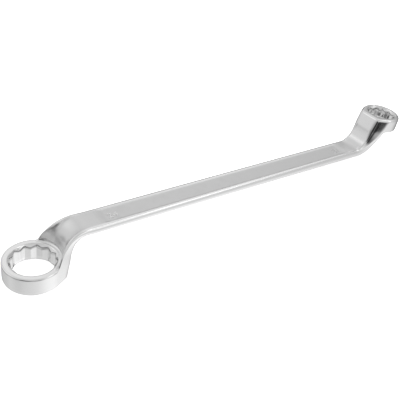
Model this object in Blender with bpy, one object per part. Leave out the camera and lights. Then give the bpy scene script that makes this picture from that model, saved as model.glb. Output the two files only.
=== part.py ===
"""A deep-offset double-ended ring spanner: one drop forging with a 12-point socket at each end.

The spanner's own frame has +X along the shank, from the large head to the small one, and +Z up through both
rings. The large ring lies below the shank and the small ring above it. Each half grows out of its own ring: a
neck is extruded from the ring's edge, bends over, and runs on as the shank until the two halves are bridged.
The forging is set down as it rests on a bench, on the large ring's lower edge and on the underside of the
far bend.
"""
import math

import bmesh
import bpy
from mathutils import Matrix, Vector, geometry

# The two rings, in metres. An offset runs from the ring's middle plane to the shank's middle plane.
LARGE_ACROSS_FLATS = 0.0240
LARGE_RING_DIAMETER = 0.0355
LARGE_RING_HEIGHT = 0.0130
LARGE_OFFSET = 0.0220
SMALL_ACROSS_FLATS = 0.0210
SMALL_RING_DIAMETER = 0.0314
SMALL_RING_HEIGHT = 0.0117
SMALL_OFFSET = 0.0248

# The two faces of each neck: how far out they leave the ring, how steeply they rise, and how far before and after
# the corner with the shank their bend starts and ends.
LARGE_INNER_ROOT = 0.0163
LARGE_INNER_SLOPE = math.radians(89.0)
LARGE_INNER_BEND_START = 0.0130
LARGE_INNER_BEND_END = 0.0150
LARGE_OUTER_ROOT = 0.0212
LARGE_OUTER_SLOPE = math.radians(70.0)
LARGE_OUTER_BEND_START = 0.0035
LARGE_OUTER_BEND_END = 0.0035
SMALL_INNER_ROOT = 0.0142
SMALL_INNER_SLOPE = math.radians(88.0)
SMALL_INNER_BEND_START = 0.0135
SMALL_INNER_BEND_END = 0.0150
SMALL_OUTER_ROOT = 0.0228
SMALL_OUTER_SLOPE = math.radians(75.0)
SMALL_OUTER_BEND_START = 0.0030
SMALL_OUTER_BEND_END = 0.0030
NECK_END = 0.0335

# How far the neck's outer face may cut into the ring's wall, and how the neck's sides lean in towards the
# ring's far edge.
OUTER_FACE_CUT = 0.0010
SIDE_LEAN = math.radians(85.0)
OUTER_CORNER_SOFTNESS = 0.0030

# The distance between the two ring axes, and the shank, which is a little heavier at the small head's end.
RING_SPACING = 0.3095
LARGE_SHANK_WIDTH = 0.0190
LARGE_SHANK_THICKNESS = 0.0052
SMALL_SHANK_WIDTH = 0.0202
SMALL_SHANK_THICKNESS = 0.0067
SHANK_EDGE_RADIUS = 0.0021

# The recessed panel on both broad faces, and how far its ends stay from the ring axes.
PANEL_DEPTH = 0.0008
PANEL_RAMP = 0.0040
PANEL_MARGIN = 0.0400

# The rings' edges and the sockets' mouths.
TOP_EDGE_RADIUS = 0.0010
BOTTOM_EDGE_RADIUS = 0.0015
MOUTH_WIDENING = 0.0003
MOUTH_SLOPE = math.radians(50.0)
CORNER_RELIEF = 0.0002

# How full the neck bends are, and how slowly the ring's outline fades out of the neck, across it and from face
# to face.
BEND_FULLNESS = 0.55
ACROSS_FADE_POWER = 2.4
LIFT_FADE_POWER = 1.5

# How finely the forging is cut into faces.
COLUMNS = 48
NECK_COLUMNS_A_SIDE = 8
EDGE_STEPS = 4
WALL_STEPS = 3
NECK_STEPS = 12
BEND_STEPS = 10
RAMP_STEPS = 3
SOCKET_POINTS = 12

# Places across the shank's broad face, from its middle to its edge rounding, and the panel's floor and slope.
ACROSS_SHARES = (0.0, 0.22, 0.44, 0.62, 0.78, 0.865, 0.95, 1.0)
FLOOR_END_SHARE = 0.78
SLOPE_END_SHARE = 0.95
SHANK_END_SHARE = 0.45


class Head:
    """The sizes of one end, with its ring's axis up through the origin and its neck rising towards +X."""

    def __init__(self, across_flats, diameter, height, offset, shank, inner_face, outer_face):
        self.across_flats = across_flats
        self.radius = diameter / 2
        self.top = height / 2
        self.crest = self.top - TOP_EDGE_RADIUS
        self.offset = offset
        self.shank_width, self.shank_thickness = shank
        self.inner_root, self.inner_slope, self.inner_bend = inner_face
        self.outer_root, self.outer_slope, self.outer_bend = outer_face
        self.mouth_radius = across_flats / math.sqrt(3.0) + MOUTH_WIDENING


def clear_scene():
    for item in list(bpy.data.objects):
        bpy.data.objects.remove(item, do_unlink=True)


def blend(start, end, share):
    return start + (end - start) * share


def smooth(share):
    share = min(max(share, 0.0), 1.0)
    return share * share * (3 - 2 * share)


def soft_larger(first, second, softness):
    return (first + second + math.hypot(first - second, softness)) / 2


def soft_smaller(first, second, softness):
    return (first + second - math.hypot(first - second, softness)) / 2


def column_angle(column):
    return math.tau * column / COLUMNS


def neck_share(angle):
    """1 straight under the neck, 0 where the ring is plain."""
    off_axis = abs((angle + math.pi) % math.tau - math.pi)
    reach = column_angle(NECK_COLUMNS_A_SIDE)
    return 1 - smooth((2 * off_axis - reach) / reach)


def socket_radius(head, angle):
    """The 12-point socket's wall: two hexagons a twelfth of a turn apart, with relieved corners."""
    step = math.tau / SOCKET_POINTS
    off_corner = abs((angle + step / 2) % step - step / 2)
    flat = head.across_flats / 2 / math.cos(step - off_corner)
    corner = head.across_flats / math.sqrt(3.0) - CORNER_RELIEF
    return min(flat, corner)


def wall_radius(head, angle, height):
    """The outside wall at one height: round, but drawn out to the neck's outer face by two straight flanks."""
    off_axis = abs((angle + math.pi) % math.tau - math.pi)
    below = head.crest - height
    face = head.outer_root - below / math.tan(head.outer_slope)
    face = soft_larger(face, head.radius - OUTER_FACE_CUT, OUTER_FACE_CUT)
    side = head.shank_width / 2 - below / math.tan(SIDE_LEAN)
    corner = math.hypot(face, side)
    tangent = math.atan2(side, face) + math.acos(min(head.radius / corner, 1.0))
    if off_axis >= tangent:
        return head.radius
    flank = head.radius / math.cos(tangent - off_axis)
    return soft_smaller(face / math.cos(off_axis), flank, OUTER_CORNER_SOFTNESS)


def quarter(steps):
    return [math.pi / 2 * step / steps for step in range(steps + 1)]


def ring_profile(head, angle):
    """One upright slice of the ring: round the outside from the socket's lower lip to its upper lip."""
    wall = socket_radius(head, angle)
    lip = head.top - (head.mouth_radius - wall) * math.tan(MOUTH_SLOPE)
    foot = BOTTOM_EDGE_RADIUS - head.top
    land = blend(head.radius - TOP_EDGE_RADIUS, head.inner_root, neck_share(angle))
    points = [(wall, -lip), (head.mouth_radius, -head.top)]
    for turn in quarter(EDGE_STEPS):
        height = foot - BOTTOM_EDGE_RADIUS * math.cos(turn)
        reach = BOTTOM_EDGE_RADIUS * (1 - math.sin(turn))
        points.append((wall_radius(head, angle, height) - reach, height))
    for step in range(1, WALL_STEPS + 1):
        height = blend(foot, head.crest, step / WALL_STEPS)
        points.append((wall_radius(head, angle, height), height))
    for turn in quarter(EDGE_STEPS)[1:-1]:
        reach = TOP_EDGE_RADIUS * (1 - math.cos(turn))
        height = head.crest + TOP_EDGE_RADIUS * math.sin(turn)
        points.append((wall_radius(head, angle, head.crest) - reach, height))
    points += [(land, head.top), (head.mouth_radius, head.top), (wall, lip)]
    return points


def loop_edges(mesh, loop):
    return [mesh.edges.get(pair) for pair in zip(loop, loop[1:] + loop[:1])]


def extrude_loop(mesh, loop, places):
    """Extrude a closed loop of edges and put the new points where they belong."""
    made = bmesh.ops.extrude_edge_only(mesh, edges=loop_edges(mesh, loop))["geom"]
    fresh = {item for item in made if isinstance(item, bmesh.types.BMVert)}
    after = []
    for vert in loop:
        neighbours = [edge.other_vert(vert) for edge in vert.link_edges]
        after.append(next(other for other in neighbours if other in fresh))
    for vert, place in zip(after, places):
        vert.co = place
    return after


def ring_mesh(mesh, head):
    """The ring with its socket, open where the neck grows out of it. Returns the loop round that opening."""
    angles = [column_angle(column) for column in range(COLUMNS)]
    profiles = [ring_profile(head, angle) for angle in angles]
    rows = []
    circle = bmesh.ops.create_circle(mesh, segments=COLUMNS, radius=head.radius)["verts"]
    circle.sort(key=lambda vert: round(math.atan2(vert.co.y, vert.co.x) / column_angle(1)) % COLUMNS)
    for level in range(len(profiles[0])):
        places = []
        for angle, profile in zip(angles, profiles):
            reach, height = profile[level]
            places.append(Vector((reach * math.cos(angle), reach * math.sin(angle), height)))
        if rows:
            rows.append(extrude_loop(mesh, rows[-1], places))
        else:
            for vert, place in zip(circle, places):
                vert.co = place
            rows.append(circle)
    bmesh.ops.bridge_loops(mesh, edges=loop_edges(mesh, rows[-1]) + loop_edges(mesh, rows[0]))
    crest = 1 + EDGE_STEPS + 1 + WALL_STEPS
    land = crest + EDGE_STEPS
    reach = NECK_COLUMNS_A_SIDE
    cut = set()
    for level in range(crest, land):
        for column in range(-reach, reach):
            edge = mesh.edges.get((rows[level][column], rows[level][column + 1]))
            above = mesh.edges.get((rows[level + 1][column], rows[level + 1][column + 1]))
            cut.update(set(edge.link_faces) & set(above.link_faces))
    rim_levels = list(range(crest + 1, land))
    opening = [rows[land][column] for column in range(reach, -reach - 1, -1)]
    opening += [rows[level][-reach] for level in reversed(rim_levels)]
    opening += [rows[crest][column] for column in range(-reach, reach + 1)]
    opening += [rows[level][reach] for level in rim_levels]
    bmesh.ops.delete(mesh, geom=list(cut), context="FACES")
    return opening


def bar_section(half_width, thickness, dip):
    """Points across the bar, as a place across and a lift: upper face, one edge, lower face, other edge."""
    flat_width = half_width - SHANK_EDGE_RADIUS
    round_start = thickness / 2 - SHANK_EDGE_RADIUS
    face = []
    for share in ACROSS_SHARES:
        slope_share = (share - FLOOR_END_SHARE) / (SLOPE_END_SHARE - FLOOR_END_SHARE)
        face.append((share * flat_width, thickness / 2 - dip * (1 - smooth(slope_share))))
    corner = SHANK_EDGE_RADIUS * math.sin(math.pi / 4)
    face.append((flat_width + corner, round_start + corner))
    upper = [(across, lift) for across, lift in reversed(face)] + [(-across, lift) for across, lift in face[1:]]
    lower = [(across, -lift) for across, lift in reversed(upper)]
    side = [(-half_width, round_start), (-half_width, 0.0), (-half_width, -round_start)]
    return upper + side + lower + [(-across, lift) for across, lift in reversed(side)]


def even_places(line, count):
    """Places at equal distances along a line of points, without the first point."""
    lengths = [(after - before).length for before, after in zip(line, line[1:])]
    places = []
    for step in range(1, count + 1):
        left = sum(lengths) * step / count
        index = 0
        while index < len(lengths) - 1 and left > lengths[index]:
            left -= lengths[index]
            index += 1
        places.append(line[index].lerp(line[index + 1], min(left / lengths[index], 1.0)))
    return places


def face_path(root, foot, slope, bend, level):
    """Places up one face of the neck: a straight run, then a bend, then level with the shank."""
    bend_start, bend_end = bend
    upward = Vector((math.cos(slope), 0, math.sin(slope)))
    onward = Vector((1, 0, 0))
    corner = Vector((root, 0, foot)) + upward * (level - foot) / upward.z
    start = corner - upward * bend_start
    end = corner + onward * bend_end
    curve = geometry.interpolate_bezier(
        start, start.lerp(corner, BEND_FULLNESS), end.lerp(corner, BEND_FULLNESS), end, BEND_STEPS
    )
    line = [Vector((root, 0, foot))] + curve + [Vector((NECK_END, 0, level))]
    return even_places(line, NECK_STEPS)


def neck_loops(head, opening):
    """The neck's loops, from the opening's own outline to the shank's plain section."""
    half = head.shank_thickness / 2
    inner = face_path(head.inner_root, head.top, head.inner_slope, head.inner_bend, head.offset + half)
    outer = face_path(head.outer_root, head.crest, head.outer_slope, head.outer_bend, head.offset - half)
    root_centre = (head.inner_root + head.outer_root) / 2
    root = [(vert.co.y, root_centre - vert.co.x) for vert in opening]
    loops = []
    for index, (upper, lower) in enumerate(zip(inner, outer)):
        left = 1 - (index + 1) / NECK_STEPS
        upward = (upper - lower).normalized()
        centre = (upper + lower) / 2
        bar = bar_section(head.shank_width / 2, (upper - lower).length, 0.0)
        loop = []
        for (bar_across, bar_lift), (root_across, root_lift) in zip(bar, root):
            across = blend(bar_across, root_across, left ** ACROSS_FADE_POWER)
            lift = blend(bar_lift, root_lift, left ** LIFT_FADE_POWER)
            loop.append(centre + Vector((0, across, 0)) + upward * lift)
        loops.append(loop)
    return loops


def shank_loops(head, other):
    """The loops of this half of the shank, with the panel's ramp from the full bar down to its floor."""
    stations = []
    for step in range(RAMP_STEPS + 1):
        stations.append((PANEL_MARGIN + PANEL_RAMP * step / RAMP_STEPS, smooth(step / RAMP_STEPS)))
    stations.append((RING_SPACING * SHANK_END_SHARE, 1.0))
    loops = []
    for along, depth_share in stations:
        share = (along - PANEL_MARGIN) / (RING_SPACING - PANEL_MARGIN - PANEL_MARGIN)
        width = blend(head.shank_width, other.shank_width, share)
        thickness = blend(head.shank_thickness, other.shank_thickness, share)
        section = bar_section(width / 2, thickness, PANEL_DEPTH * depth_share)
        loops.append([Vector((along, across, head.offset + lift)) for across, lift in section])
    return loops


def half_mesh(mesh, head, other, place):
    """One ring, its neck and half the shank, put where they belong. Returns the loop at the shank's cut end."""
    known = set(mesh.verts)
    opening = ring_mesh(mesh, head)
    end = opening
    for loop in neck_loops(head, opening) + shank_loops(head, other):
        end = extrude_loop(mesh, end, loop)
    own = [vert for vert in mesh.verts if vert not in known]
    bmesh.ops.transform(mesh, matrix=place, verts=own)
    return end


def forging_mesh():
    """The whole spanner as one closed skin in its own frame."""
    large = Head(
        LARGE_ACROSS_FLATS,
        LARGE_RING_DIAMETER,
        LARGE_RING_HEIGHT,
        LARGE_OFFSET,
        (LARGE_SHANK_WIDTH, LARGE_SHANK_THICKNESS),
        (LARGE_INNER_ROOT, LARGE_INNER_SLOPE, (LARGE_INNER_BEND_START, LARGE_INNER_BEND_END)),
        (LARGE_OUTER_ROOT, LARGE_OUTER_SLOPE, (LARGE_OUTER_BEND_START, LARGE_OUTER_BEND_END)),
    )
    small = Head(
        SMALL_ACROSS_FLATS,
        SMALL_RING_DIAMETER,
        SMALL_RING_HEIGHT,
        SMALL_OFFSET,
        (SMALL_SHANK_WIDTH, SMALL_SHANK_THICKNESS),
        (SMALL_INNER_ROOT, SMALL_INNER_SLOPE, (SMALL_INNER_BEND_START, SMALL_INNER_BEND_END)),
        (SMALL_OUTER_ROOT, SMALL_OUTER_SLOPE, (SMALL_OUTER_BEND_START, SMALL_OUTER_BEND_END)),
    )
    mesh = bmesh.new()
    large_place = Matrix.Translation((-RING_SPACING / 2, 0, -LARGE_OFFSET))
    small_place = Matrix.Translation((RING_SPACING / 2, 0, SMALL_OFFSET)) @ Matrix.Rotation(math.pi, 4, "Y")
    large_end = half_mesh(mesh, large, small, large_place)
    small_end = half_mesh(mesh, small, large, small_place)
    bmesh.ops.bridge_loops(mesh, edges=loop_edges(mesh, large_end) + loop_edges(mesh, small_end))
    bmesh.ops.recalc_face_normals(mesh, faces=mesh.faces)
    return mesh


def centre_of_mass(mesh):
    """The middle of the closed skin's volume, summed over triangles."""
    volume = 0.0
    moment = Vector((0, 0, 0))
    for triangle in mesh.calc_loop_triangles():
        first, second, third = (corner.vert.co for corner in triangle)
        part = first.dot(second.cross(third)) / 6
        volume += part
        moment += (first + second + third) * part / 4
    return moment / volume


def resting_pitch(mesh, middle):
    """The slope of the line under the spanner that it comes to rest on: the lower hull's edge below its middle."""
    hull = []
    for point in sorted((vert.co.x, vert.co.z) for vert in mesh.verts):
        while len(hull) > 1:
            (x1, z1), (x2, z2) = hull[-2:]
            if (x2 - x1) * (point[1] - z1) - (z2 - z1) * (point[0] - x1) > 0:
                break
            hull.pop()
        hull.append(point)
    for (x1, z1), (x2, z2) in zip(hull, hull[1:]):
        if x1 <= middle.x <= x2:
            return math.atan2(z2 - z1, x2 - x1)
    return 0.0


def chrome_plate():
    material = bpy.data.materials.new("satin_chrome")
    material.use_nodes = True
    shader = material.node_tree.nodes["Principled BSDF"]
    shader.inputs["Base Color"].default_value = (0.76, 0.77, 0.78, 1.0)
    shader.inputs["Metallic"].default_value = 1.0
    shader.inputs["Roughness"].default_value = 0.28
    return material


def build():
    clear_scene()
    forging = forging_mesh()
    pitch = resting_pitch(forging, centre_of_mass(forging))
    data = bpy.data.meshes.new("spanner")
    forging.to_mesh(data)
    forging.free()
    data.shade_smooth()
    data.set_sharp_from_angle(angle=math.radians(35.0))
    data.materials.append(chrome_plate())
    spanner = bpy.data.objects.new("spanner", data)
    bpy.context.collection.objects.link(spanner)
    corners = [Matrix.Rotation(pitch, 4, "Y") @ vert.co for vert in data.vertices]
    low = [min(corner[axis] for corner in corners) for axis in range(3)]
    high = [max(corner[axis] for corner in corners) for axis in range(3)]
    spanner.rotation_euler = (0, pitch, 0)
    spanner.location = (-(low[0] + high[0]) / 2, -(low[1] + high[1]) / 2, -low[2])
    print("resting pitch in degrees", round(math.degrees(pitch), 3))
    print("size in metres", [round(b - a, 5) for a, b in zip(low, high)], "faces", len(data.polygons))


build()
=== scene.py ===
# %% [markdown]
# # A deep-offset ring spanner, forged and chromed
# A ring spanner is one piece of steel. A bar is heated, bent and stamped between two dies, so that a ring
# stands at each end, one below the shank and one above it. Then the rings are faced, the sockets are
# broached, and the whole tool is chromed. This lesson builds it in the order of the real work: the rings
# first, then the necks that grow out of them, then the shank with its sunk panel, and last the numbers, the
# finish and the studio.

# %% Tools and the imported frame
import math

import bmesh
import bpy
from mathutils import Matrix, Vector, geometry


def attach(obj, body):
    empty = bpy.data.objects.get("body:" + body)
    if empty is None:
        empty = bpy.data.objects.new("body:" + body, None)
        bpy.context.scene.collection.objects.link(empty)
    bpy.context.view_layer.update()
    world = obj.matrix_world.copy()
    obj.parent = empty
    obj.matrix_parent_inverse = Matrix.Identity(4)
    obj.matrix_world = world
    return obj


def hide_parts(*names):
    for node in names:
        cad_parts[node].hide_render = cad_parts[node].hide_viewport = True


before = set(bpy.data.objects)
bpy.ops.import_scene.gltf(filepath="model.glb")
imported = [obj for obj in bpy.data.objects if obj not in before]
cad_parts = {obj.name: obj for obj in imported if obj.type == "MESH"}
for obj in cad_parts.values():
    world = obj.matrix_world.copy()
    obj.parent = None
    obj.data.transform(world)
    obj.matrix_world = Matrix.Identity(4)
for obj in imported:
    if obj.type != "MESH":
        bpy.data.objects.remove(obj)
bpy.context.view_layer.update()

# %% [markdown]
# ## Where the spanner lies
# The spanner is easiest to model level, with both rings flat and the shank's middle at the origin. On a
# bench it doesn't lie like that: it leans until the large ring's rim and the underside of the far bend both
# touch. One matrix holds that lean, and it is applied to the finished mesh and to the camera alike. Its
# numbers are the ones that the solid part was set down with.

# %% The resting place
RESTING_PITCH = 0.09334
RESTING_MOVE = (0.00092035, 0.0, 0.01540329)
AT_REST = Matrix.Translation(RESTING_MOVE) @ Matrix.Rotation(RESTING_PITCH, 4, "Y")
print("the spanner leans", round(math.degrees(RESTING_PITCH), 2), "degrees")

# %% [markdown]
# ## The sizes of the two heads
# Each head has a socket for one nut size, a ring round it and a neck that rises from the ring. A small class
# keeps the sizes of one head together, so that one set of functions can make both. The two faces of a neck
# are each given by where they start, how steep they rise and how long their bend is on both sides of its
# corner. The outer face has a width of its own as well.

# %% The heads
MOUTH_WIDENING = 0.0003
TOP_EDGE_RADIUS = 0.0010


class Head:
    """The sizes of one end, with its ring's axis up through the origin and its neck rising towards +X."""

    def __init__(self, across_flats, diameter, height, offset, shank, inner_face, outer_face):
        self.across_flats = across_flats
        self.radius = diameter / 2
        self.top = height / 2
        self.crest = self.top - TOP_EDGE_RADIUS
        self.offset = offset
        self.shank_width, self.shank_thickness = shank
        self.inner_root, self.inner_slope, self.inner_bend = inner_face
        self.outer_root, self.outer_slope, self.outer_bend, self.outer_half_width = outer_face
        self.corner_radius = across_flats / math.sqrt(3.0)
        self.mouth_radius = self.corner_radius + MOUTH_WIDENING


RING_SPACING = 0.3095
LARGE_HEAD = Head(
    across_flats=0.0240,
    diameter=0.0355,
    height=0.0130,
    offset=0.0220,
    shank=(0.0190, 0.0052),
    inner_face=(0.0163, math.radians(89.0), (0.0130, 0.0150)),
    outer_face=(0.0192, math.radians(73.0), (0.0050, 0.0060), 0.0095),
)
SMALL_HEAD = Head(
    across_flats=0.0210,
    diameter=0.0314,
    height=0.0117,
    offset=0.0248,
    shank=(0.0202, 0.0067),
    inner_face=(0.0142, math.radians(88.0), (0.0135, 0.0150)),
    outer_face=(0.0195, math.radians(76.0), (0.0085, 0.0090), 0.0093),
)
print("sockets", LARGE_HEAD.across_flats, "and", SMALL_HEAD.across_flats, "metres across flats")

# %% [markdown]
# ## The ring's slice
# A ring is a slice swept round an axis, but here the slice changes as it goes: the socket has twelve points,
# and the wall stands out under the neck. So a function gives the slice at any angle, and the columns of the
# mesh are laid along it. The socket's points fall on every fourth column and the ridges between them
# halfway, so that both can be kept sharp.

# %% Helpers for blending
def blend(start, end, share):
    return start + (end - start) * share


def smooth(share):
    share = min(max(share, 0.0), 1.0)
    return share * share * (3 - 2 * share)


def soft_larger(first, second, softness):
    return (first + second + math.hypot(first - second, softness)) / 2


def soft_smaller(first, second, softness):
    return (first + second - math.hypot(first - second, softness)) / 2


print("a smooth blend passes", [smooth(quarter / 4) for quarter in range(5)])

# %% The columns and the socket's wall
COLUMNS = 48
NECK_COLUMNS_A_SIDE = 8
SOCKET_POINTS = 12
CORNER_RELIEF = 0.0002


def column_angle(column):
    return math.tau * column / COLUMNS


def away_from_neck(angle):
    """How far an angle is from the neck's middle, on either side."""
    return abs((angle + math.pi) % math.tau - math.pi)


def neck_share(angle):
    """1 straight under the neck, 0 where the ring is plain."""
    reach = column_angle(NECK_COLUMNS_A_SIDE)
    return 1 - smooth((2 * away_from_neck(angle) - reach) / reach)


def socket_radius(head, angle):
    """The socket's wall: two hexagons a twelfth of a turn apart, with relieved corners."""
    step = math.tau / SOCKET_POINTS
    off_corner = abs((angle + step / 2) % step - step / 2)
    flat = head.across_flats / 2 / math.cos(step - off_corner)
    return min(flat, head.corner_radius - CORNER_RELIEF)


print("the large socket's wall lies", round(socket_radius(LARGE_HEAD, 0.0), 5), "from the axis at a point")

# %% The outside wall
OUTER_FACE_CUT = 0.0010
CORNER_SOFTNESS = 0.0008
CHAMFER_TURN = math.radians(63.0)
FLANK_TURN = math.radians(80.0)


def wall_radius(head, angle, height):
    """The outside wall: round, but drawn out to the neck by a face, two chamfers and two flanks."""
    turn = away_from_neck(angle)
    if turn >= FLANK_TURN:
        return head.radius
    face = head.outer_root - (head.crest - height) / math.tan(head.outer_slope)
    face = soft_larger(face, head.radius - OUTER_FACE_CUT, OUTER_FACE_CUT)
    chamfer = face * math.cos(CHAMFER_TURN) + head.outer_half_width * math.sin(CHAMFER_TURN)
    chamfer = max(chamfer, head.radius) / math.cos(CHAMFER_TURN - turn)
    flank = head.radius / math.cos(FLANK_TURN - turn)
    corner = soft_smaller(face / math.cos(turn), chamfer, CORNER_SOFTNESS)
    return min(corner, flank)


neck_wall = wall_radius(LARGE_HEAD, 0.0, LARGE_HEAD.crest)
print("under the neck the wall lies", round(neck_wall, 5), "from the axis")

# %% The ring's slice at one angle
MOUTH_SLOPE = math.radians(50.0)
BOTTOM_EDGE_RADIUS = 0.0020
EDGE_STEPS = 4
WALL_STEPS = 3


def quarter_turn(steps):
    return [math.pi / 2 * step / steps for step in range(steps + 1)]


def ring_profile(head, angle):
    """Round the outside of the slice, from the socket's lower lip to its upper lip, as reach and height."""
    wall = socket_radius(head, angle)
    lip = head.top - (head.mouth_radius - wall) * math.tan(MOUTH_SLOPE)
    foot = BOTTOM_EDGE_RADIUS - head.top
    land = blend(head.radius - TOP_EDGE_RADIUS, head.inner_root, neck_share(angle))
    points = [(wall, -lip), (head.mouth_radius, -head.top)]
    for turn in quarter_turn(EDGE_STEPS):
        height = foot - BOTTOM_EDGE_RADIUS * math.cos(turn)
        reach = BOTTOM_EDGE_RADIUS * (1 - math.sin(turn))
        points.append((wall_radius(head, angle, height) - reach, height))
    for step in range(1, WALL_STEPS + 1):
        height = blend(foot, head.crest, step / WALL_STEPS)
        points.append((wall_radius(head, angle, height), height))
    for turn in quarter_turn(EDGE_STEPS)[1:-1]:
        reach = TOP_EDGE_RADIUS * (1 - math.cos(turn))
        height = head.crest + TOP_EDGE_RADIUS * math.sin(turn)
        points.append((wall_radius(head, angle, head.crest) - reach, height))
    points += [(land, head.top), (head.mouth_radius, head.top), (wall, lip)]
    return points


print("a slice of the ring has", len(ring_profile(LARGE_HEAD, 0.0)), "points")

# %% [markdown]
# ## From slices to a ring
# The mesh starts as one circle. Each time its loop of edges is extruded, the new points are moved to the
# next level of the slices, and the last loop is bridged back to the first. That leaves a closed ring with
# its socket. A spin would be shorter, but it repeats one slice and can't change it on the way.

# %% Extruding a loop
def loop_edges(mesh, loop):
    return [mesh.edges.get(pair) for pair in zip(loop, loop[1:] + loop[:1])]


def extrude_loop(mesh, loop, places):
    """Extrude a closed loop of edges and put the new points where they belong."""
    made = bmesh.ops.extrude_edge_only(mesh, edges=loop_edges(mesh, loop))["geom"]
    fresh = {item for item in made if isinstance(item, bmesh.types.BMVert)}
    after = []
    for vert in loop:
        neighbours = [edge.other_vert(vert) for edge in vert.link_edges]
        after.append(next(other for other in neighbours if other in fresh))
    for vert, place in zip(after, places):
        vert.co = place
    return after


def row_places(profiles, level):
    """Where the points of one row go, one for each column."""
    places = []
    for column, profile in enumerate(profiles):
        turn = column_angle(column)
        reach, height = profile[level]
        places.append(Vector((reach * math.cos(turn), reach * math.sin(turn), height)))
    return places


print("each extruded row adds", COLUMNS, "points")

# %% The rows of the ring
def column_of(vert):
    return round(math.atan2(vert.co.y, vert.co.x) / column_angle(1)) % COLUMNS


def ring_rows(mesh, head):
    """The closed skin of a ring, as rows of points from the socket's lower lip to its upper lip."""
    profiles = [ring_profile(head, column_angle(column)) for column in range(COLUMNS)]
    circle = bmesh.ops.create_circle(mesh, segments=COLUMNS, radius=head.radius)["verts"]
    circle.sort(key=column_of)
    for vert, place in zip(circle, row_places(profiles, 0)):
        vert.co = place
    rows = [circle]
    for level in range(1, len(profiles[0])):
        rows.append(extrude_loop(mesh, rows[-1], row_places(profiles, level)))
    bmesh.ops.bridge_loops(mesh, edges=loop_edges(mesh, rows[-1]) + loop_edges(mesh, rows[0]))
    return rows


trial = bmesh.new()
print("the large ring has", len(ring_rows(trial, LARGE_HEAD)), "rows and", len(trial.faces), "faces")
trial.free()

# %% [markdown]
# ## Crisp edges and the opening
# Broached sockets have sharp corners, and the rest of a forging is soft. A subdivided mesh is soft
# everywhere. Extra loops beside each edge of the socket would keep it sharp, but a crease does that without
# new faces. The lips, where the wall meets the mouth's slope, are as crisp as can be, and the mouths' outer
# edges are a little softer. Then the faces where the neck grows are deleted, which opens a loop to extrude
# from.

# %% The socket's crisp edges
FULL_CREASE = 1.0
MOUTH_CREASE = 0.8


def sharpen(mesh, edges, amount):
    """Keep edges crisp when the mesh is subdivided."""
    crease = mesh.edges.layers.float["crease_edge"]
    for edge in edges:
        edge[crease] = amount


def sharpen_socket(mesh, rows):
    """Crease both lips, both mouths, and the points and ridges that run through the socket."""
    lower_lip, lower_mouth, upper_mouth, upper_lip = rows[0], rows[1], rows[-2], rows[-1]
    for row in (lower_lip, upper_lip):
        sharpen(mesh, loop_edges(mesh, row), FULL_CREASE)
    for row in (lower_mouth, upper_mouth):
        sharpen(mesh, loop_edges(mesh, row), MOUTH_CREASE)
    for column in range(0, COLUMNS, COLUMNS // SOCKET_POINTS // 2):
        corners = [row[column] for row in (lower_mouth, lower_lip, upper_lip, upper_mouth)]
        sharpen(mesh, [mesh.edges.get(pair) for pair in zip(corners, corners[1:])], FULL_CREASE)


print("the mouths are creased by", MOUTH_CREASE)

# %% The opening for the neck
CREST_LEVEL = 1 + EDGE_STEPS + 1 + WALL_STEPS
LAND_LEVEL = CREST_LEVEL + EDGE_STEPS


def cut_opening(mesh, rows):
    """Delete the faces between the crest and the land where the neck grows. Returns the loop round them."""
    reach = NECK_COLUMNS_A_SIDE
    cut = []
    for level in range(CREST_LEVEL, LAND_LEVEL):
        for column in range(-reach, reach):
            edge = mesh.edges.get((rows[level][column], rows[level][column + 1]))
            above = mesh.edges.get((rows[level + 1][column], rows[level + 1][column + 1]))
            cut += [face for face in edge.link_faces if face in above.link_faces]
    rim_levels = list(range(CREST_LEVEL + 1, LAND_LEVEL))
    opening = [rows[LAND_LEVEL][column] for column in range(reach, -reach - 1, -1)]
    opening += [rows[level][-reach] for level in reversed(rim_levels)]
    opening += [rows[CREST_LEVEL][column] for column in range(-reach, reach + 1)]
    opening += [rows[level][reach] for level in rim_levels]
    bmesh.ops.delete(mesh, geom=cut, context="FACES")
    return opening


def ring_mesh(mesh, head):
    """The ring with its socket, open where the neck grows out of it. Returns the loop round that opening."""
    rows = ring_rows(mesh, head)
    sharpen_socket(mesh, rows)
    return cut_opening(mesh, rows)


trial = bmesh.new()
trial.edges.layers.float.new("crease_edge")
print("the loop round the opening has", len(ring_mesh(trial, LARGE_HEAD)), "points")
trial.free()

# %% [markdown]
# ## The neck and the shank
# The neck is the same bar as the shank, bent over and swelling where it meets the ring. Its loops follow two
# curves, one for the face towards the ring's axis and one for the face away from it. Near the ring each loop
# still has the ring's own outline, and that fades into the bar's rounded rectangle on the way up. Over most
# of the neck the outer face's points also lie further apart than on the bar, so that the face stays wide. A
# sweep along one curve would be simpler, but then both faces would bend alike.

# %% The bar's section
SHANK_EDGE_RADIUS = 0.0021
ACROSS_SHARES = (0.0, 0.22, 0.44, 0.62, 0.78, 0.865, 0.95, 1.0)
FLOOR_END_SHARE = 0.78
SLOPE_END_SHARE = 0.95


def half_face(half_width, thickness, dip, shares):
    """Points from the middle of one broad face to the middle of its rounded edge."""
    flat_width = half_width - SHANK_EDGE_RADIUS
    round_start = thickness / 2 - SHANK_EDGE_RADIUS
    face = []
    for share in shares:
        slope_share = (share - FLOOR_END_SHARE) / (SLOPE_END_SHARE - FLOOR_END_SHARE)
        face.append((share * flat_width, thickness / 2 - dip * (1 - smooth(slope_share))))
    corner = SHANK_EDGE_RADIUS * math.sin(math.pi / 4)
    return face + [(flat_width + corner, round_start + corner)]


def whole_face(face):
    """Both halves of a broad face, from edge to edge."""
    return list(reversed(face)) + [(-across, lift) for across, lift in face[1:]]


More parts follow.
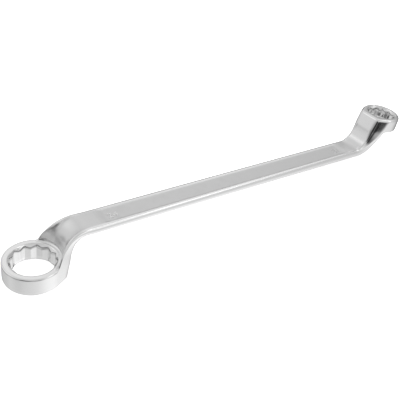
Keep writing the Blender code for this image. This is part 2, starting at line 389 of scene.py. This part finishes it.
def bar_section(half_width, thickness, dip, lower_shares=ACROSS_SHARES):
    """Points across the bar, as a place across and a lift: upper face, one edge, lower face, other edge."""
    round_start = thickness / 2 - SHANK_EDGE_RADIUS
    upper = whole_face(half_face(half_width, thickness, dip, ACROSS_SHARES))
    lower = whole_face(half_face(half_width, thickness, dip, lower_shares))
    lower = [(-across, -lift) for across, lift in lower]
    side = [(-half_width, round_start), (-half_width, 0.0), (-half_width, -round_start)]
    return upper + side + lower + [(-across, lift) for across, lift in reversed(side)]


shank_section = bar_section(LARGE_HEAD.shank_width / 2, LARGE_HEAD.shank_thickness, 0.0)
print("a loop round the bar has", len(shank_section), "points")

# %% Places up one face of the neck
NECK_STEPS = 12
BEND_STEPS = 10
BEND_FULLNESS = 0.55
NECK_END = 0.0335


def even_places(line, count):
    """Places at equal distances along a line of points, without the first point."""
    lengths = [(after - before).length for before, after in zip(line, line[1:])]
    places = []
    for step in range(1, count + 1):
        left = sum(lengths) * step / count
        index = 0
        while index < len(lengths) - 1 and left > lengths[index]:
            left -= lengths[index]
            index += 1
        places.append(line[index].lerp(line[index + 1], min(left / lengths[index], 1.0)))
    return places


def face_path(root, foot, slope, bend, level):
    """Places up one face of the neck: a straight run, then a bend, then level with the shank."""
    bend_start, bend_end = bend
    upward = Vector((math.cos(slope), 0, math.sin(slope)))
    onward = Vector((1, 0, 0))
    corner = Vector((root, 0, foot)) + upward * (level - foot) / upward.z
    start = corner - upward * bend_start
    end = corner + onward * bend_end
    start_handle, end_handle = start.lerp(corner, BEND_FULLNESS), end.lerp(corner, BEND_FULLNESS)
    curve = geometry.interpolate_bezier(start, start_handle, end_handle, end, BEND_STEPS)
    line = [Vector((root, 0, foot))] + curve + [Vector((NECK_END, 0, level))]
    return even_places(line, NECK_STEPS)


print("the neck rises in", NECK_STEPS, "loops")

# %% The neck's loops
ACROSS_FADE_POWER = 2.4
LIFT_FADE_POWER = 1.5
NECK_SHARES = (0.0, 0.36, 0.72, 1.05, 1.10, 1.14, 1.17, 1.20)
NECK_SHARES_FADE = 3.0


def neck_loops(head, opening):
    """The neck's loops, from the opening's own outline to the shank's plain section."""
    half = head.shank_thickness / 2
    inner = face_path(head.inner_root, head.top, head.inner_slope, head.inner_bend, head.offset + half)
    outer = face_path(head.outer_root, head.crest, head.outer_slope, head.outer_bend, head.offset - half)
    root_centre = (head.inner_root + head.outer_root) / 2
    root = [(vert.co.y, root_centre - vert.co.x) for vert in opening]
    loops = []
    for index, (upper, lower) in enumerate(zip(inner, outer)):
        left = 1 - (index + 1) / NECK_STEPS
        upward = (upper - lower).normalized()
        centre = (upper + lower) / 2
        wideness = smooth(left * NECK_SHARES_FADE)
        shares = [blend(plain, wide, wideness) for plain, wide in zip(ACROSS_SHARES, NECK_SHARES)]
        bar = bar_section(head.shank_width / 2, (upper - lower).length, 0.0, shares)
        loop = []
        for (bar_across, bar_lift), (root_across, root_lift) in zip(bar, root):
            across = blend(bar_across, root_across, left ** ACROSS_FADE_POWER)
            lift = blend(bar_lift, root_lift, left ** LIFT_FADE_POWER)
            loop.append(centre + Vector((0, across, 0)) + upward * lift)
        loops.append(loop)
    return loops


print("on the neck the outer face spreads to", NECK_SHARES[-1], "times the bar's flat")

# %% [markdown]
# ## The panel
# Both broad faces of the shank have a shallow panel with a level floor, which saves steel and leaves the bar
# nearly as stiff. A boolean could cut it out, but that would break up the even loops, so here the bar's
# section sinks between its edges. The ramp down to the floor is short and the floor is long. Subdivision
# pulls points towards the longer side, and a few loops close behind the ramp keep it where it belongs.

# %% The shank's loops
PANEL_DEPTH = 0.0008
PANEL_RAMP = 0.0060
PANEL_MARGIN = 0.0400
RAMP_STEPS = 4
BEHIND_RAMP = (0.0015, 0.0035, 0.0070, 0.0140, 0.0300)
SHANK_END_SHARE = 0.45


def shank_loops(head, other):
    """The loops of this half of the shank, with the panel's ramp from the full bar down to its floor."""
    stations = []
    for step in range(RAMP_STEPS + 1):
        stations.append((PANEL_MARGIN + PANEL_RAMP * step / RAMP_STEPS, smooth(step / RAMP_STEPS)))
    stations += [(PANEL_MARGIN + PANEL_RAMP + past, 1.0) for past in BEHIND_RAMP]
    stations.append((RING_SPACING * SHANK_END_SHARE, 1.0))
    loops = []
    for along, depth_share in stations:
        share = (along - PANEL_MARGIN) / (RING_SPACING - PANEL_MARGIN - PANEL_MARGIN)
        width = blend(head.shank_width, other.shank_width, share)
        thickness = blend(head.shank_thickness, other.shank_thickness, share)
        section = bar_section(width / 2, thickness, PANEL_DEPTH * depth_share)
        loops.append([Vector((along, across, head.offset + lift)) for across, lift in section])
    return loops


print("half the shank has", len(shank_loops(LARGE_HEAD, SMALL_HEAD)), "loops")

# %% [markdown]
# ## The whole forging
# Each half is made round its own ring and then moved to its end of the tool, the small one turned over. The
# two open ends of the shank face each other, and one bridge closes the skin. Every point also gets a number
# for how satin its finish is. A belt polishes the rings and the outer faces best and reaches less well
# inside the necks, and the middle of the shank's flats is nearly as matt as the panel. Last, the inner faces
# of the necks are evened out a little, as polishing does.

# %% One half of the forging
UPPER_POINTS = 2 * len(ACROSS_SHARES) + 1
INNER_SATIN = 1.0
OUTER_SATIN = 0.0
SHANK_SATIN = 0.5
FIELD_SATIN = 1.6
FIELD_HALF_WIDTH = 0.0070
EVENED_LOOPS = 8
EVENED_EDGE = 3
EVENED_ROUNDS = 4
EVENED_SHARE = 0.5


def even_out(mesh, verts):
    """Move points towards the middle of their neighbours, a few times."""
    for _ in range(EVENED_ROUNDS):
        bmesh.ops.smooth_vert(
            mesh, verts=verts, factor=EVENED_SHARE, use_axis_x=True, use_axis_y=True, use_axis_z=True
        )


def half_mesh(mesh, head, other, place):
    """One ring, its neck and half the shank, put in place. Returns the loop at the shank's cut end."""
    known = set(mesh.verts)
    satin = mesh.verts.layers.float["satin"]
    opening = ring_mesh(mesh, head)
    end = opening
    evened = []
    for index, loop in enumerate(neck_loops(head, opening) + shank_loops(head, other)):
        end = extrude_loop(mesh, end, loop)
        share = min((index + 1) / NECK_STEPS, 1.0)
        for number, vert in enumerate(end):
            start = INNER_SATIN if number < UPPER_POINTS else OUTER_SATIN
            finish = FIELD_SATIN if abs(loop[number].y) < FIELD_HALF_WIDTH else SHANK_SATIN
            vert[satin] = blend(start, finish, smooth(share))
        if index < EVENED_LOOPS:
            evened += end[EVENED_EDGE : UPPER_POINTS - EVENED_EDGE]
    even_out(mesh, evened)
    for vert in opening[:UPPER_POINTS]:
        vert[satin] = SHANK_SATIN
    own = [vert for vert in mesh.verts if vert not in known]
    bmesh.ops.transform(mesh, matrix=place, verts=own)
    return end


print("the upper face takes", UPPER_POINTS, "points of each loop")

# %% Two halves make one skin
skin = bmesh.new()
skin.edges.layers.float.new("crease_edge")
skin.verts.layers.float.new("satin")
turned_over = Matrix.Rotation(math.pi, 4, "Y")
large_place = Matrix.Translation((-RING_SPACING / 2, 0, -LARGE_HEAD.offset))
small_place = Matrix.Translation((RING_SPACING / 2, 0, SMALL_HEAD.offset)) @ turned_over
large_end = half_mesh(skin, LARGE_HEAD, SMALL_HEAD, large_place)
small_end = half_mesh(skin, SMALL_HEAD, LARGE_HEAD, small_place)
bmesh.ops.bridge_loops(skin, edges=loop_edges(skin, large_end) + loop_edges(skin, small_end))
bmesh.ops.recalc_face_normals(skin, faces=skin.faces)
print("the cage has", len(skin.faces), "faces")

# %% The two finishes on the skin
FLOOR_HALF_WIDTH = 0.0064
FLOOR_FLATNESS = 0.97
TOUCHING = 0.0001
floor_reach = RING_SPACING / 2 - PANEL_MARGIN + TOUCHING
panel_faces = 0
for face in skin.faces:
    flat = abs(face.normal.z) > FLOOR_FLATNESS and abs(face.calc_center_median().y) < FLOOR_HALF_WIDTH
    inside = max(abs(vert.co.x) for vert in face.verts) < floor_reach
    face.material_index = 1 if flat and inside else 0
    panel_faces += face.material_index
print("faces on the panels' floors", panel_faces)

# %% The forging as an object
ROUNDING_LEVELS = 2

skin.transform(AT_REST)
forging_data = bpy.data.meshes.new("forging")
skin.to_mesh(forging_data)
skin.free()
forging_data.shade_smooth()
forging = bpy.data.objects.new("forging", forging_data)
bpy.context.scene.collection.objects.link(forging)
rounding = forging.modifiers.new("rounding", "SUBSURF")
rounding.levels = rounding.render_levels = ROUNDING_LEVELS
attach(forging, "root")
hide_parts("spanner")
print("the forging has", len(forging_data.polygons) * 4 ** ROUNDING_LEVELS, "faces when it is rounded")

# %% [markdown]
# ## The size marks
# The forging die leaves the two nut sizes standing up from the panel's floor, so that the user can feel and
# read which ring is which. They could be raised out of the skin itself, but that would need a very fine mesh
# round each figure. Here a text curve draws plain figures. It gets a thickness and a rounded edge, becomes a
# mesh, and is then carried to its place, half sunk in the floor.

# %% Raised figures
FIGURE_SIZE = 0.0066
FIGURE_SPACING = 1.1
FIGURE_RISE = 0.00026
FIGURE_EDGE = 0.00020
FIGURE_EDGE_STEPS = 2
MERGE_DISTANCE = 0.000001


def raised_figures(figures, place):
    """Plain figures with rounded edges, as a bmesh that has its place applied."""
    curve = bpy.data.curves.new("figures", "FONT")
    curve.body = figures
    curve.align_x, curve.align_y = "CENTER", "CENTER"
    curve.size = FIGURE_SIZE
    curve.space_character = FIGURE_SPACING
    curve.extrude = FIGURE_RISE
    curve.bevel_depth, curve.bevel_resolution = FIGURE_EDGE, FIGURE_EDGE_STEPS
    carrier = bpy.data.objects.new("figures", curve)
    data = bpy.data.meshes.new_from_object(carrier)
    bpy.data.objects.remove(carrier)
    bpy.data.curves.remove(curve)
    mesh = bmesh.new()
    mesh.from_mesh(data)
    bpy.data.meshes.remove(data)
    bmesh.ops.remove_doubles(mesh, verts=mesh.verts, dist=MERGE_DISTANCE)
    bmesh.ops.recalc_face_normals(mesh, faces=mesh.faces)
    mesh.transform(AT_REST @ place)
    return mesh


print("the figures stand", round(FIGURE_RISE + FIGURE_EDGE, 5), "metres above the floor")

# %% A mark at each end of the panel
FIGURE_ALONG = 0.1050
FIGURE_ACROSS = -0.0012
SHARP_ANGLE = math.radians(40.0)

figure_pieces = []
for head, side in ((LARGE_HEAD, -1), (SMALL_HEAD, 1)):
    figures = str(round(head.across_flats * 1000))
    floor_height = head.shank_thickness / 2 - PANEL_DEPTH
    mark = raised_figures(figures, Matrix.Translation((side * FIGURE_ALONG, FIGURE_ACROSS, floor_height)))
    data = bpy.data.meshes.new("size_mark_" + figures)
    mark.to_mesh(data)
    mark.free()
    data.shade_smooth()
    data.set_sharp_from_angle(angle=SHARP_ANGLE)
    piece = bpy.data.objects.new("size_mark_" + figures, data)
    bpy.context.scene.collection.objects.link(piece)
    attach(piece, "root")
    figure_pieces.append(piece)
    print(piece.name, "has", len(data.polygons), "faces")

# %% [markdown]
# ## Satin chrome
# The chrome is thin and follows the ground steel below it, so it shows the fine marks of the polishing belt
# and a soft, slightly uneven gloss. A metal's base colour is what it reflects, so it stays a pale grey, and
# noise in the roughness and a faint bump do the rest. The satin number of the skin makes it duller and a
# shade darker. The panel's floor and the ramps at its ends aren't belt-polished. They keep the blasted grain
# of the forging under the chrome, which scatters the light and reads as an even grey.

# %% Helpers for materials
NOISE_RANGE = (0.3, 0.7)


def new_material(name):
    material = bpy.data.materials.new(name)
    material.use_nodes = True
    return material, material.node_tree.nodes, material.node_tree.links


def noise_of(nodes, links, scale, detail, stretch):
    """A noise on object coordinates. A stretch below 1 draws it out along that axis."""
    coordinates = nodes.new("ShaderNodeTexCoord")
    mapping = nodes.new("ShaderNodeMapping")
    mapping.inputs["Scale"].default_value = stretch
    noise = nodes.new("ShaderNodeTexNoise")
    noise.inputs["Scale"].default_value = scale
    noise.inputs["Detail"].default_value = detail
    links.new(coordinates.outputs["Object"], mapping.inputs["Vector"])
    links.new(mapping.outputs["Vector"], noise.inputs["Vector"])
    return noise.outputs["Fac"]


def ranged(nodes, links, source, source_range, result_range):
    """A value that goes over the result's range as the source goes over its own."""
    spread = nodes.new("ShaderNodeMapRange")
    spread.inputs["From Min"].default_value, spread.inputs["From Max"].default_value = source_range
    spread.inputs["To Min"].default_value, spread.inputs["To Max"].default_value = result_range
    links.new(source, spread.inputs["Value"])
    return spread.outputs["Result"]


def add_bump(nodes, links, grain, strength, distance):
    """A faint relief from a noise, which tilts the surface for the shader."""
    bump = nodes.new("ShaderNodeBump")
    bump.inputs["Strength"].default_value = strength
    bump.inputs["Distance"].default_value = distance
    links.new(grain, bump.inputs["Height"])
    links.new(bump.outputs["Normal"], nodes["Principled BSDF"].inputs["Normal"])


print("noise is read between", NOISE_RANGE)

# %% The belt-polished chrome
EVEN = (1.0, 1.0, 1.0)
ALONG_THE_BELT = (0.15, 1.0, 1.0)
BELT_ROUGHNESS = (0.10, 0.14)
SATIN_ROUGHNESS = 0.17
CHROME_GREY = 0.80
FIELD_GREY = 0.73


def satin_chrome():
    material, nodes, links = new_material("satin_chrome")
    shader = nodes["Principled BSDF"]
    shader.inputs["Metallic"].default_value = 1.0
    satin = nodes.new("ShaderNodeAttribute")
    satin.attribute_name = "satin"
    gloss = noise_of(nodes, links, scale=60.0, detail=3.0, stretch=EVEN)
    dulled = nodes.new("ShaderNodeMath")
    dulled.operation = "MULTIPLY_ADD"
    dulled.inputs[1].default_value = SATIN_ROUGHNESS
    links.new(satin.outputs["Fac"], dulled.inputs[0])
    links.new(ranged(nodes, links, gloss, NOISE_RANGE, BELT_ROUGHNESS), dulled.inputs[2])
    links.new(dulled.outputs["Value"], shader.inputs["Roughness"])
    shade = ranged(nodes, links, satin.outputs["Fac"], (SHANK_SATIN, FIELD_SATIN), (CHROME_GREY, FIELD_GREY))
    links.new(shade, shader.inputs["Base Color"])
    grain = noise_of(nodes, links, scale=1500.0, detail=2.0, stretch=ALONG_THE_BELT)
    add_bump(nodes, links, grain, strength=0.06, distance=0.0002)
    return material


print("the belt leaves a roughness of", BELT_ROUGHNESS)

# %% The blasted chrome of the panel
BLASTED_ROUGHNESS = (0.42, 0.55)
PANEL_GREY = 0.72


def panel_chrome():
    material, nodes, links = new_material("panel_chrome")
    shader = nodes["Principled BSDF"]
    shader.inputs["Metallic"].default_value = 1.0
    shader.inputs["Base Color"].default_value = (PANEL_GREY, PANEL_GREY, PANEL_GREY, 1.0)
    gloss = noise_of(nodes, links, scale=200.0, detail=3.0, stretch=EVEN)
    links.new(ranged(nodes, links, gloss, NOISE_RANGE, BLASTED_ROUGHNESS), shader.inputs["Roughness"])
    grain = noise_of(nodes, links, scale=2500.0, detail=2.0, stretch=EVEN)
    add_bump(nodes, links, grain, strength=0.15, distance=0.0001)
    return material


forging_data.materials.append(satin_chrome())
forging_data.materials.append(panel_chrome())
for piece in figure_pieces:
    piece.data.materials.clear()
    piece.data.materials.append(forging_data.materials[0])
print("finishes", [material.name for material in forging_data.materials])

# %% [markdown]
# ## Camera
# The camera stands where the photograph's lens stood: to the large ring's side, a little above, looking
# along the shank. Its place was solved from the outline of the tool, in the level frame, so the resting
# matrix carries it along with the spanner.

# %% The camera
FRAME_PIXELS = 400
VIEW_TURN = (135.0212, -35.7556, -17.3778)
VIEW_SHIFT = Vector((0.01223977, -0.01793123, 0.39084915))
VIEW_FOCAL_PIXELS = 532.56
VIEW_CENTRE = (223.4176, 203.9736)
NEAREST, FARTHEST = 0.01, 10.0

turn = Matrix.Identity(3)
for degrees, axis in zip(VIEW_TURN, "XYZ"):
    turn = Matrix.Rotation(math.radians(degrees), 3, axis) @ turn
lens_axes = turn.transposed() @ Matrix.Diagonal((1, -1, -1))
lens_place = -(turn.transposed() @ VIEW_SHIFT)
camera_data = bpy.data.cameras.new("camera")
camera = bpy.data.objects.new("camera", camera_data)
bpy.context.scene.collection.objects.link(camera)
camera.matrix_world = AT_REST @ Matrix.Translation(lens_place) @ lens_axes.to_4x4()
camera_data.lens = VIEW_FOCAL_PIXELS / FRAME_PIXELS * camera_data.sensor_width
camera_data.shift_x = (FRAME_PIXELS / 2 - VIEW_CENTRE[0]) / FRAME_PIXELS
camera_data.shift_y = (VIEW_CENTRE[1] - FRAME_PIXELS / 2) / FRAME_PIXELS
camera_data.clip_start, camera_data.clip_end = NEAREST, FARTHEST
bpy.context.scene.camera = camera
print("camera at", [round(part, 4) for part in camera.matrix_world.translation])

# %% [markdown]
# ## Floor
# Product shots of tools lie on white paper that is lit until it burns out. The paper here glows a little of
# its own, so only the deepest contact shadow stays on it. It is left out of the chrome's reflections,
# because the studio around it, made in the next step, has its own light from below.

# %% The floor
FLOOR_SIZE = 6.0
PAPER_WHITE = 0.9
PAPER_ROUGHNESS = 0.9
PAPER_GLOW = 0.75

floor_mesh = bmesh.new()
bmesh.ops.create_grid(floor_mesh, x_segments=1, y_segments=1, size=FLOOR_SIZE)
floor_data = bpy.data.meshes.new("floor")
floor_mesh.to_mesh(floor_data)
floor_mesh.free()
floor = bpy.data.objects.new("floor", floor_data)
bpy.context.scene.collection.objects.link(floor)
floor.visible_glossy = False
floor_material = new_material("floor_paper")[0]
floor_shader = floor_material.node_tree.nodes["Principled BSDF"]
floor_shader.inputs["Base Color"].default_value = (PAPER_WHITE, PAPER_WHITE, PAPER_WHITE, 1.0)
floor_shader.inputs["Roughness"].default_value = PAPER_ROUGHNESS
floor_shader.inputs["Emission Color"].default_value = (1.0, 1.0, 1.0, 1.0)
floor_shader.inputs["Emission Strength"].default_value = PAPER_GLOW
floor_data.materials.append(floor_material)
print("the floor is", 2 * FLOOR_SIZE, "metres across")

# %% [markdown]
# ## Studio light
# Chrome has hardly any colour of its own: what makes it read as metal is the room that it mirrors. So the
# room is built as a light field round the tool. Lamps with real boxes and cards would do as well, but a
# field in the world's light needs no objects. It is a soft tent, darker towards the top, with round
# softboxes that add light and black flags that take it away. Each is a smooth spot round one direction. One
# small softbox draws the bright line along the shank's front edge, and one flag low in front draws the dark
# stripes down the necks.

# %% A spot of light or shade in the tent
def spot(nodes, links, view, compass, height, spread, strength):
    """A soft round spot in the world's light, centred on one direction. Angles are in degrees."""
    compass, height = math.radians(compass), math.radians(height)
    level = math.cos(height)
    along = nodes.new("ShaderNodeVectorMath")
    along.operation = "DOT_PRODUCT"
    along.inputs[1].default_value = (level * math.cos(compass), level * math.sin(compass), math.sin(height))
    links.new(view, along.inputs[0])
    last = along.outputs["Value"]
    for operation, value in (
        ("ARCCOSINE", None),
        ("DIVIDE", math.radians(spread)),
        ("POWER", 2.0),
        ("MULTIPLY", -1.0),
        ("EXPONENT", None),
        ("MULTIPLY", strength),
    ):
        step = nodes.new("ShaderNodeMath")
        step.operation = operation
        if value is not None:
            step.inputs[1].default_value = value
        links.new(last, step.inputs[0])
        last = step.outputs["Value"]
    return last


print("one spread away from its middle a spot has", round(math.exp(-1.0), 2), "of its strength")

# %% [markdown]
# ## The softboxes and flags
# Each line gives the compass angle, the height angle and the spread in degrees, and then the strength, which
# is below zero for a flag. Two thirds of the lines, and the tent, began as a least-squares fit of the
# reflections to the photograph's greys. The other lines were placed one by one, most of them where a view
# ray leaves the chrome. All were then set in whole degrees and round strengths.

# %% The softboxes and flags
SPOTS = {
    "edge_softbox": (-35, 45, 8, 1.85),
    "front_softbox": (-62, 27, 10, 0.70),
    "bend_softbox": (135, 50, 18, 0.45),
    "rear_softbox": (26, 58, 26, 0.35),
    "rear_strip": (48, 17, 12, 0.40),
    "land_softbox": (70, 40, 10, 0.25),
    "ramp_softbox": (0, 44, 9, 0.45),
    "front_paper": (-5, -60, 34, 1.10),
    "side_paper": (-62, -38, 30, 0.25),
    "stripe_flag": (-96, -10, 15, -1.25),
    "left_flag": (-132, -3, 20, -0.95),
    "end_flag": (190, -10, 23, -0.65),
    "neck_flag": (137, -20, 12, -1.00),
    "socket_flag": (22, -25, 16, -0.60),
    "rear_floor_flag": (22, -42, 56, -1.10),
    "rim_flag": (-144, 19, 10, -1.10),
    "far_socket_flag": (157, -18, 7, -0.85),
    "rear_edge_flag": (54, -10, 11, -0.45),
}
print("softboxes and papers:", sum(strength > 0 for _, _, _, strength in SPOTS.values()))

# %% The tent
TENT_LIGHT = 0.84
TENT_SLOPE = -0.14
TENT_DARKENING = -0.11


def tent_light(nodes, links, view):
    """The even light of the tent, which falls off towards the top."""
    split = nodes.new("ShaderNodeSeparateXYZ")
    slope = nodes.new("ShaderNodeMath")
    tent = nodes.new("ShaderNodeMath")
    slope.operation = tent.operation = "MULTIPLY_ADD"
    slope.inputs[1].default_value, slope.inputs[2].default_value = TENT_DARKENING, TENT_SLOPE
    tent.inputs[2].default_value = TENT_LIGHT
    links.new(view, split.inputs["Vector"])
    links.new(split.outputs["Z"], slope.inputs[0])
    links.new(split.outputs["Z"], tent.inputs[0])
    links.new(slope.outputs["Value"], tent.inputs[1])
    return tent.outputs["Value"]


print("straight up the tent has", round(TENT_LIGHT + TENT_SLOPE + TENT_DARKENING, 2), "of light")

# %% The studio
LEAST_LIGHT = 0.02

world = bpy.data.worlds.new("studio")
world.use_nodes = True
nodes, links = world.node_tree.nodes, world.node_tree.links
view = nodes.new("ShaderNodeTexCoord").outputs["Generated"]
total = tent_light(nodes, links, view)
for compass, height, spread, strength in SPOTS.values():
    joined = nodes.new("ShaderNodeMath")
    joined.operation = "ADD"
    links.new(total, joined.inputs[0])
    links.new(spot(nodes, links, view, compass, height, spread, strength), joined.inputs[1])
    total = joined.outputs["Value"]
kept = nodes.new("ShaderNodeMath")
kept.operation = "MAXIMUM"
kept.inputs[1].default_value = LEAST_LIGHT
links.new(total, kept.inputs[0])
links.new(kept.outputs["Value"], nodes["Background"].inputs["Color"])
bpy.context.scene.world = world
bpy.context.scene.view_settings.view_transform = "Standard"
print("the tent holds", len(SPOTS), "softboxes and flags")
